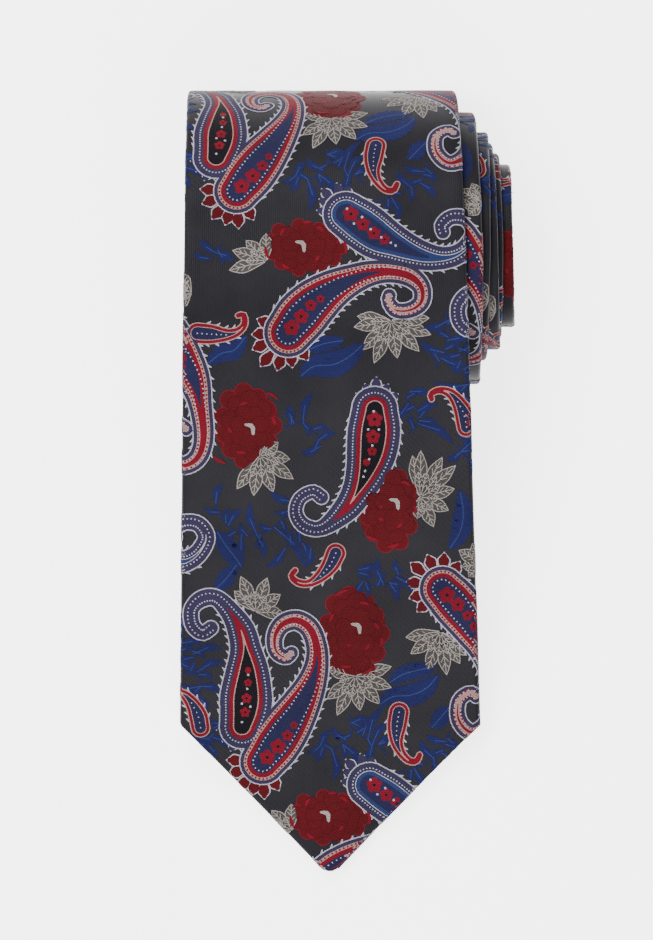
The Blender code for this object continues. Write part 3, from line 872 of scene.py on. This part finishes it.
def sewn(name, mesh, material):
    """An object of threads laid down from flat space."""
    bmesh.ops.remove_doubles(mesh, verts=mesh.verts, dist=1e-4)
    bmesh.ops.recalc_face_normals(mesh, faces=mesh.faces)
    # Flat space measures t downwards, so laying it down mirrors the threads.
    bmesh.ops.reverse_faces(mesh, faces=mesh.faces)
    data = data_of(mesh, name, lambda flat: lay_down(flat[:, 0], flat[:, 1], flat[:, 2]))
    return show(data, material)


# The drawn motifs lie between these distances along the cloth, and a repeat reaches this far across.
MOTIFS_FROM, MOTIFS_TO, MOTIFS_REACH = 22, 222, 155
FIRST_STEPS, SECOND_STEPS = range(-4, 14), range(-6, 8)
FIGURES_MARGIN = 0.3


def repeat_figures(base, span):
    """Copies figures over the cloth by the pattern's steps, trimmed to span and to the folded edges."""
    data = bpy.data.meshes.new("one_repeat")
    base.to_mesh(data)
    flat = bmesh.new()
    low, high = np.interp(span, PATTERN_S, PATTERN_Q)
    at = Vector((0, 0, 0))
    for i in FIRST_STEPS:
        for j in SECOND_STEPS:
            step = Vector(REPEATS[0]) * i + Vector(REPEATS[1]) * j
            if abs(step.x) > MOTIFS_REACH or step.y + MOTIFS_TO < low or step.y + MOTIFS_FROM > high:
                continue
            data.transform(Matrix.Translation(step.to_3d() - at))
            at = step.to_3d()
            flat.from_mesh(data)
    bpy.data.meshes.remove(data)
    v, s = on_cloth(np.array([p.co.x for p in flat.verts]), np.array([p.co.y for p in flat.verts]))
    for vert, across, along in zip(flat.verts, v, s):
        vert.co.xy = (across, along)
    beyond = (np.abs(v) > fold_reach(s)) | (s < FIGURES_MARGIN) | (s > LENGTH - FIGURES_MARGIN)
    lost = [vert for vert, out in zip(flat.verts, beyond) if out]
    bmesh.ops.delete(flat, geom=lost, context="VERTS")
    for place, side in ((span[0], -1), (span[1], 1)):
        everything = flat.verts[:] + flat.edges[:] + flat.faces[:]
        bmesh.ops.bisect_plane(
            flat, geom=everything, dist=1e-5, plane_co=(0, place, 0), plane_no=(0, side, 0), clear_outer=True
        )
    return flat


# The longest edges left round a fold, after each pass, and how deep the sides reach into the silk.
FOLD_EDGES, SIDES_FOOT = (0.9, 0.45), -0.02


def finish_figures(flat, name):
    """Subdivides figures where they go round the folded edges, and gives them sides down to the cloth."""
    for longest in FOLD_EDGES:
        rows = [(*(e.verts[0].co + e.verts[1].co).xy * 0.5, e.calc_length()) for e in flat.edges]
        middle = np.array(rows)
        reach, s = np.abs(middle[:, 0]), middle[:, 1]
        flat_half = half_width(s) - edge_radius(s)
        folded = (reach > flat_half - 1) & (reach < flat_half + math.pi * edge_radius(s) + 1)
        chosen = folded & (middle[:, 2] > longest)
        edges = [e for e, wanted in zip(flat.edges, chosen) if wanted]
        bmesh.ops.subdivide_edges(flat, edges=edges, cuts=1, use_grid_fill=False)
    rim = [
        e
        for e in flat.edges
        if e.is_boundary and e.verts[0].co.z < SIDES_BELOW and len(e.link_faces[0].verts) != 6
    ]
    sides = bmesh.ops.extrude_edge_only(flat, edges=rim)["geom"]
    for vert in sides:
        if isinstance(vert, bmesh.types.BMVert):
            vert.co.z = SIDES_FOOT
    return data_of(flat, name, lambda at: wrap(at[:, 0], at[:, 1], at[:, 2]))


def add(tree, kind, inputs=None, **settings):
    """Adds a node with its settings, and sets or links its inputs."""
    node = tree.nodes.new(kind)
    for name, value in settings.items():
        setattr(node, name, value)
    for name, value in (inputs or {}).items():
        if isinstance(value, bpy.types.NodeSocket):
            tree.links.new(value, node.inputs[name])
        else:
            node.inputs[name].default_value = value
    return node


def new_material(name):
    """A material with only its shader and output."""
    made = bpy.data.materials.new(name)
    made.use_nodes = True
    return made, made.node_tree, made.node_tree.nodes["Principled BSDF"]


def ridges(tree, across, along):
    """A sine across the cloth with those pitches in mm; 0 means that it doesn't vary that way."""
    place = add(tree, "ShaderNodeUVMap", uv_map="cloth_mm").outputs["UV"]
    part = add(tree, "ShaderNodeSeparateXYZ", {"Vector": place}).outputs
    turns = [2 * math.pi / pitch if pitch else 0.0 for pitch in (across, along)]
    total = add(tree, "ShaderNodeMath", {0: part["X"], 1: turns[0]}, operation="MULTIPLY").outputs[0]
    angle = {0: part["Y"], 1: turns[1], 2: total}
    total = add(tree, "ShaderNodeMath", angle, operation="MULTIPLY_ADD").outputs[0]
    return add(tree, "ShaderNodeMath", {0: total}, operation="SINE").outputs[0]


# Per metre: patches of tone about 17 mm across, and slubs in the yarn under 1 mm.
PATCHES, SLUBS = 60.0, 1400.0


def textile(name, colour, pitches, roughness, relief, contrast, sheen, gloss=0.5, stretch=0.0):
    """A woven cloth: ridges of its weave, with painted shade in their grooves, uneven yarns and a soft
    sheen.

    pitches are the weave's two ridges as (across, along) in mm, relief is their height in mm; contrast sets
    how much darker the grooves are painted and how strongly the slubs vary in tone.
    """
    made, tree, shader = new_material(name)
    first, second = (ridges(tree, *pitch) for pitch in pitches)
    at = add(tree, "ShaderNodeTexCoord").outputs["Object"]
    uneven = add(tree, "ShaderNodeTexNoise", {"Vector": at, "Scale": PATCHES, "Detail": 3.0}).outputs[0]
    slub = add(tree, "ShaderNodeTexNoise", {"Vector": at, "Scale": SLUBS, "Detail": 2.0}).outputs[0]
    fuzz = add(tree, "ShaderNodeMath", {0: slub, 1: 0.5}, operation="SUBTRACT").outputs[0]
    # Each row scales its first value and adds its last: the weave, the height, the tone with painted shade
    # and the gloss.
    weave = {0: second, 1: 0.45, 2: first}
    weave = add(tree, "ShaderNodeMath", weave, operation="MULTIPLY_ADD").outputs[0]
    height = {0: slub, 1: 0.8, 2: weave}
    height = add(tree, "ShaderNodeMath", height, operation="MULTIPLY_ADD").outputs[0]
    # Painted shade and highlight: the tone follows the weave's ridges, darker in the grooves and lighter on
    # the crests, over random patches and slubs of the yarn.
    tone_and_ridge_shade = {0: weave, 1: contrast, 2: uneven}
    tone_and_ridge_shade = add(tree, "ShaderNodeMath", tone_and_ridge_shade, operation="MULTIPLY_ADD").outputs[0]
    tone_and_ridge_shade = {0: fuzz, 1: contrast * 2, 2: tone_and_ridge_shade}
    tone_and_ridge_shade = add(tree, "ShaderNodeMath", tone_and_ridge_shade, operation="MULTIPLY_ADD").outputs[0]
    rough = {0: uneven, 1: 0.12, 2: roughness - 0.06}
    rough = add(tree, "ShaderNodeMath", rough, operation="MULTIPLY_ADD").outputs[0]
    share = add(tree, "ShaderNodeMapRange", {"Value": tone_and_ridge_shade, 1: 0.1, 2: 0.9, 3: 0.0, 4: 1.0}).outputs[0]
    low = (*(c * 0.7 for c in colour), 1.0)
    high = (*(min(c * 1.28, 1.0) for c in colour), 1.0)
    mixed = add(tree, "ShaderNodeMix", {0: share, 6: low, 7: high}, data_type="RGBA").outputs[2]
    bump = add(tree, "ShaderNodeBump", {"Strength": 0.8, "Distance": relief * MM, "Height": height})
    tree.links.new(mixed, shader.inputs["Base Color"])
    tree.links.new(bump.outputs[0], shader.inputs["Normal"])
    tree.links.new(rough, shader.inputs["Roughness"])
    shader.inputs["Sheen Weight"].default_value = sheen
    shader.inputs["Sheen Roughness"].default_value = 0.4
    shader.inputs["Specular IOR Level"].default_value = gloss
    shader.inputs["Anisotropic"].default_value = stretch
    return made


def silk_materials():
    """Finishes of the ground and of every figure yarn."""
    colours = bpy.context.scene.necktie_colours
    # Satin ground: fine upright warp lines, drawn at 0.6 mm because real ones are too fine to show.
    # Only its rims catch the light: a broad highlight would turn the dark yarn grey.
    satin = ((0.6, 0), (0.45, 1.8)), 0.36, 0.02, 0.12, 0.0, 0.04, 0.4
    # Weft floats: short slanted ridges 1 mm apart, drawn at about three times the real size,
    # which give each figure a matter, brighter look than the ground.
    weft = ((1.1, 0.9), (0, 0.7)), 0.5, 0.04, 0.26, 0.0, 0.03
    made = {"ground": textile("charcoal silk satin", tuple(colours.ground), *satin)}
    for yarn in YARNS:
        made[yarn] = textile(f"{yarn} silk weft", tuple(getattr(colours, yarn)), *weft)
    return made


class NECKTIE_OT_figures(bpy.types.Operator):
    """Weaves the paisleys, peonies, leaves and vines, one piece for each yarn on the front and on each of
    two lengths of the coil.
    """

    bl_idname = "necktie.figures"
    bl_label = "Woven figures"

    def execute(self, context):
        weaver = Weaver()
        draw_leaves(weaver)
        draw_peonies(weaver)
        draw_teardrops(weaver)
        draw_paisleys(weaver)
        finishes = silk_materials()
        spans = {
            "front": (FIGURES_END, HINGE_S),
            "roll_outer": (HINGE_S, ROLL_SPLIT_S),
            "roll_inner": (ROLL_SPLIT_S, LENGTH - FIGURES_END),
        }
        for yarn in YARNS:
            for place, span in spans.items():
                flat = repeat_figures(weaver.meshes[yarn], span)
                made = show(finish_figures(flat, f"woven_{yarn}_{place}"), finishes[yarn])
                settle(made, place == "front")
            weaver.meshes[yarn].free()
        return {"FINISHED"}


class NECKTIE_OT_silk(bpy.types.Operator):
    """Folds the silk of the blade, the neck and the tail, joined on the bias."""

    bl_idname = "necktie.silk"
    bl_label = "Silk"

    def execute(self, context):
        ground = bpy.data.materials["charcoal silk satin"]
        blade_end, neck_start = BLADE_SEAM_S - SEAM_HALF_GAP, BLADE_SEAM_S + SEAM_HALF_GAP
        neck_end, tail_start = NECK_SEAM_S - SEAM_HALF_GAP, NECK_SEAM_S + SEAM_HALF_GAP
        pieces = (
            ("silk_front", (SILK_END, HINGE_S), (0, 0), "blade_shell_front", "front"),
            ("silk_blade_roll", (HINGE_S, blade_end), (0, 1), "blade_shell_rolled", "roll_outer"),
            ("silk_neck", (neck_start, neck_end), (1, 1), "neck_shell", "roll_inner"),
            ("silk_tail", (tail_start, LENGTH - SILK_END), (1, 0), "tail_shell", None),
        )
        for name, span, bias, node, figures in pieces:
            made, flat, area = folded_cloth(name, span, bias, ground)
            on_front = name == "silk_front"
            settle(made, on_front)
            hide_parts(node)
        return {"FINISHED"}


def inner_half(s):
    """Half of the room inside the folded silk."""
    return np.maximum(half_width(s) - 0.9, 0.3)


def tipping_half(s):
    """Half of the lining: it shows in the opening and runs under the folded edges round it."""
    return np.minimum(inner_half(s), opening(s) + LINING_LAP)


# How far the lining runs under the folds, and how deep each layer lies below the front's face, in mm.
LINING_LAP = 8.0
WOOL_TOP, LINING_TOP, TAIL_LINING_TOP = 0.7, 1.85, 1.22


class NECKTIE_OT_inside(bpy.types.Operator):
    """Lays the wool interlining and the tipping inside the folded silk."""

    bl_idname = "necktie.inside"
    bl_label = "Interlining and tipping"

    def execute(self, context):
        colours = context.scene.necktie_colours
        # Brushed wool: a loose plain weave under short fuzz.
        wool = textile(
            "brushed wool interlining", tuple(colours.wool), ((1.1, 0), (0, 1.1)), 0.92, 0.08, 0.2, 0.6, 0.2
        )
        # Acetate lining: a fine steep twill with a low shine.
        acetate = textile(
            "black acetate twill", tuple(colours.lining), ((0.7, 0.5), (0.35, 0)), 0.34, 0.015, 0.1, 0.1, 0.6
        )
        kinds = {
            "wool": (inner_half, wool, "wool_interlining"),
            "lining": (tipping_half, acetate, "acetate_lining"),
        }
        # The wool is thinner beside the tail's lining.
        tail_start = LENGTH - 79.0
        pieces = (
            ("wool_front", (6.0, HINGE_S), WOOL_TOP, "wool", "interlining_front"),
            ("wool_roll", (HINGE_S, tail_start), WOOL_TOP, "wool", "interlining_rolled"),
            ("wool_tail", (tail_start, LENGTH - 6), WOOL_TOP, "lining", None),
            ("lining_blade", (8.0, 125.0), LINING_TOP, "lining", "blade_tipping"),
            ("lining_tail", (LENGTH - 72.0, LENGTH - 8.0), TAIL_LINING_TOP, "lining", "tail_tipping"),
        )
        for name, span, top, thickness, node in pieces:
            half, finish, slot_name = kinds[name.split("_")[0]]
            made, flat, area = inner_sheet(
                name, span, half, lambda s, across, top=top: s * 0 + top, setting(thickness), finish,
            )
            settle(made, span[0] < HINGE_S)
            if node:
                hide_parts(node)
            cloth = "silk_front" if span[0] < HINGE_S else "silk_blade_roll"
            cloth = "silk_tail" if span[0] > NECK_SEAM_S else cloth
        return {"FINISHED"}


LABEL_SPAN, LABEL_HALF = (104.0, 122.0), 22.0
KEEPER_SPAN, KEEPER_HALF, KEEPER_FOOT, KEEPER_SLOT = (131.0, 141.0), 26.0, 6.0, 3.6


def keeper_top(s, across):
    """Outer face of the keeper loop: flat feet, and a band that stands clear of the back."""
    reach = np.clip((KEEPER_HALF - KEEPER_FOOT - np.abs(across) * KEEPER_HALF) / KEEPER_SLOT, 0, 1)
    return depth(s) + 0.9 + KEEPER_SLOT * reach * reach * (3 - 2 * reach)


class NECKTIE_OT_trim(bpy.types.Operator):
    """Sews the blank label and the keeper loop on the back of the blade."""

    bl_idname = "necktie.trim"
    bl_label = "Label and keeper loop"

    def execute(self, context):
        colours = context.scene.necktie_colours
        # Satin label: close ribs across it, and no mark of any kind.
        satin = textile("label satin", tuple(colours.label), ((0, 0.4), (1.6, 0)), 0.3, 0.02, 0.1, 0.1, 0.6)
        label, flat, area = inner_sheet(
            "satin_label", LABEL_SPAN, lambda s: s * 0 + LABEL_HALF,
            lambda s, across: depth(s) + 0.55, 0.3, satin, faces_back=True,
        )
        settle(label, True)
        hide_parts("maker_label")
        silk = bpy.data.materials["charcoal silk satin"]
        keeper, flat, area = inner_sheet(
            "silk_keeper", KEEPER_SPAN, lambda s: s * 0 + KEEPER_HALF, keeper_top, 0.7, silk,
            faces_back=True,
        )
        settle(keeper, True)
        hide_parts("keeper_loop")
        return {"FINISHED"}


def running(mesh, u, span, level, radius):
    """A row of short running stitches along the tie at u."""
    for s in np.arange(span[0], span[1] - 1.5, 2.4):
        top = float(depth(s)) + level
        points = ((u, s, top - 0.15), (u, s + 0.4, top), (u, s + 1.3, top), (u, s + 1.7, top - 0.15))
        thread(mesh, points, radius)


def slip_stitches(mesh, span, pitch, radius):
    """Slanted stitches that close the folded edges at the back."""
    for s in np.arange(span[0], span[1] - 3, pitch):
        top = float(depth(s))
        start, end = (-0.9, s, top - 0.12), (0.9, s + 2.3, top - 0.12)
        thread(mesh, (start, (-0.4, s + 0.7, top + 0.1), (0.4, s + 1.6, top + 0.1), end), radius)


def bar_tack(mesh, s, radius):
    """A dense bar of thread across the end of the opening."""
    for k in range(6):
        at = s + 0.28 * k
        top = float(depth(at))
        start, end = (-2.2, at, top - 0.05), (2.2, at + 0.1, top - 0.05)
        thread(mesh, (start, (-1.9, at, top + 0.25), (1.9, at + 0.1, top + 0.25), end), radius)


def seam(mesh, s, radius):
    """Thread in the groove of a bias seam across the front."""
    half = float(half_width(s)) - 1.5
    for u in np.arange(-half, half - 2, 2.6):
        thread(mesh, ((u, s + u, 0.12), (u + 1.0, s + u + 1.0, 0.05), (u + 2.0, s + u + 2.0, 0.12)), radius)


class NECKTIE_OT_stitches(bpy.types.Operator):
    """Sews the slip stitches, bar tacks, seams and the stitches of the label and keeper."""

    bl_idname = "necktie.stitches"
    bl_label = "Stitches"

    def execute(self, context):
        colours = context.scene.necktie_colours
        # Twisted sewing silk: a dull thread with slanted plies.
        finish = textile(
            "twisted silk thread", tuple(colours.thread), ((0.25, 0.3), (0, 0.3)), 0.55, 0.02, 0.2, 0.3
        )
        radius, pitch = setting("thread"), setting("stitch_pitch")
        label_u, keeper_u = LABEL_HALF - 1.0, KEEPER_HALF - KEEPER_FOOT / 2
        front, rolled = (100.0, HINGE_S), (HINGE_S + 2, LENGTH - 60)
        label, keeper = ((105.0, 121.5), 0.6), ((132.0, 140.5), 0.95)
        # Each row: the piece, the solid it stands for, whether it is on the front, and its stitches.
        work = (
            ("stitches_slip_front", "slip_stitch_front", True, slip_stitches, front, pitch),
            ("stitches_slip_roll", "slip_stitch_rolled", False, slip_stitches, rolled, pitch),
            ("tack_blade", "blade_bar_tack", True, bar_tack, OPENING_S),
            ("tack_tail", "tail_bar_tack", False, bar_tack, LENGTH - TAIL_OPENING - 1.5),
            ("stitches_label_left", "label_stitch_left", True, running, -label_u, *label),
            ("stitches_label_right", "label_stitch_right", True, running, label_u, *label),
            ("stitches_keeper_left", "keeper_stitch_left", True, running, -keeper_u, *keeper),
            ("stitches_keeper_right", "keeper_stitch_right", True, running, keeper_u, *keeper),
            ("seam_blade_neck", "blade_neck_seam", False, seam, BLADE_SEAM_S),
            ("seam_neck_tail", "neck_tail_seam", False, seam, NECK_SEAM_S),
        )
        for name, node, on_front, sew, *where in work:
            mesh = bmesh.new()
            sew(mesh, *where, radius)
            made = sewn(name, mesh, finish)
            settle(made, on_front)
            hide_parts(node)
        return {"FINISHED"}


def softbox(name, place, aim, size, power):
    """A large area light aimed at a point."""
    light = bpy.data.lights.new(name, "AREA")
    light.shape, light.size, light.size_y, light.energy = "RECTANGLE", *size, power
    made = bpy.data.objects.new(name, light)
    bpy.context.scene.collection.objects.link(made)
    made.location = place
    made.rotation_euler = (Vector(aim) - Vector(place)).to_track_quat("-Z", "Y").to_euler()


# The stage, in metres: what the camera and the lights aim at, and the height of the view there.
MIDDLE, VIEW_HEIGHT = (0.0005, -0.0695, 0.03), 0.2969
FLOOR_HALF, FLOOR_DROP, FLOOR_GLOW = 3.0, 0.0003, 3.6
# Name, place, size in metres and power in watts.
SOFTBOXES = (
    ("key light", (-0.75, 0.1, 1.5), (0.8, 0.8), 32.0),
    ("front light", (0.1, -1.2, 1.3), (1.4, 1.0), 36.0),
    ("far light", (-0.3, 1.0, 1.2), (0.8, 0.6), 24.0),
)


class NECKTIE_OT_stage(bpy.types.Operator):
    """Sets the pale floor, the soft lights and the overhead camera."""

    bl_idname = "necktie.stage"
    bl_label = "Stage"

    def execute(self, context):
        mesh = bmesh.new()
        bmesh.ops.create_grid(mesh, x_segments=1, y_segments=1, size=FLOOR_HALF)
        bmesh.ops.translate(mesh, verts=mesh.verts, vec=(0, 0, -FLOOR_DROP))
        data = bpy.data.meshes.new("floor")
        mesh.to_mesh(data)
        mesh.free()
        # Matt white board, lit from below as well, so that shadows on it stay pale.
        made, _, shader = new_material("matt white board")
        colour = context.scene.necktie_colours.floor
        shader.inputs["Base Color"].default_value = (*(c * 0.85 for c in colour), 1.0)
        shader.inputs["Emission Color"].default_value = (*colour, 1.0)
        shader.inputs["Emission Strength"].default_value = FLOOR_GLOW
        shader.inputs["Roughness"].default_value = 0.85
        shader.inputs["Specular IOR Level"].default_value = 0.0
        data.materials.append(made)
        floor = bpy.data.objects.new("floor", data)
        context.scene.collection.objects.link(floor)
        for name, place, size, power in SOFTBOXES:
            softbox(name, place, MIDDLE, size, power)
        world = bpy.data.worlds.new("studio")
        world.use_nodes = True
        sky = world.node_tree.nodes["Background"]
        sky.inputs["Color"].default_value = (1, 1, 1, 1)
        sky.inputs["Strength"].default_value = 0.2
        context.scene.world = world
        lens = bpy.data.cameras.new("overhead camera")
        lens.lens = context.scene.necktie_sizes.lens
        height = VIEW_HEIGHT * lens.lens / lens.sensor_width
        lens.clip_start, lens.clip_end = 0.1, height * 3
        camera = bpy.data.objects.new("overhead camera", lens)
        camera.location = (MIDDLE[0], MIDDLE[1], MIDDLE[2] + height)
        context.scene.collection.objects.link(camera)
        context.scene.camera = camera
        return {"FINISHED"}


class NECKTIE_PT_panel(bpy.types.Panel):
    """Lists the sizes, the colours and the pieces of the necktie."""

    bl_label = "Silk necktie"
    bl_idname = "NECKTIE_PT_panel"
    bl_space_type = "VIEW_3D"
    bl_region_type = "UI"
    bl_category = "Necktie"

    def draw(self, context):
        for group in (context.scene.necktie_sizes, context.scene.necktie_colours):
            for name in group.bl_rna.properties.keys():
                if name not in ("rna_type", "name"):
                    self.layout.prop(group, name)
        for operator in OPERATORS:
            self.layout.operator(operator.bl_idname)


OPERATORS = (
    NECKTIE_OT_figures,
    NECKTIE_OT_silk,
    NECKTIE_OT_inside,
    NECKTIE_OT_trim,
    NECKTIE_OT_stitches,
    NECKTIE_OT_stage,
)
CLASSES = (NecktieSizes, NecktieColours, *OPERATORS, NECKTIE_PT_panel)


def register():
    for kind in CLASSES:
        bpy.utils.register_class(kind)
    bpy.types.Scene.necktie_sizes = bpy.props.PointerProperty(type=NecktieSizes)
    bpy.types.Scene.necktie_colours = bpy.props.PointerProperty(type=NecktieColours)


def unregister():
    del bpy.types.Scene.necktie_sizes
    del bpy.types.Scene.necktie_colours
    for kind in reversed(CLASSES):
        bpy.utils.unregister_class(kind)


def main():
    register()
    bpy.ops.necktie.figures()
    bpy.ops.necktie.silk()
    bpy.ops.necktie.inside()
    bpy.ops.necktie.trim()
    bpy.ops.necktie.stitches()
    bpy.ops.necktie.stage()


if __name__ == "__main__":
    main()
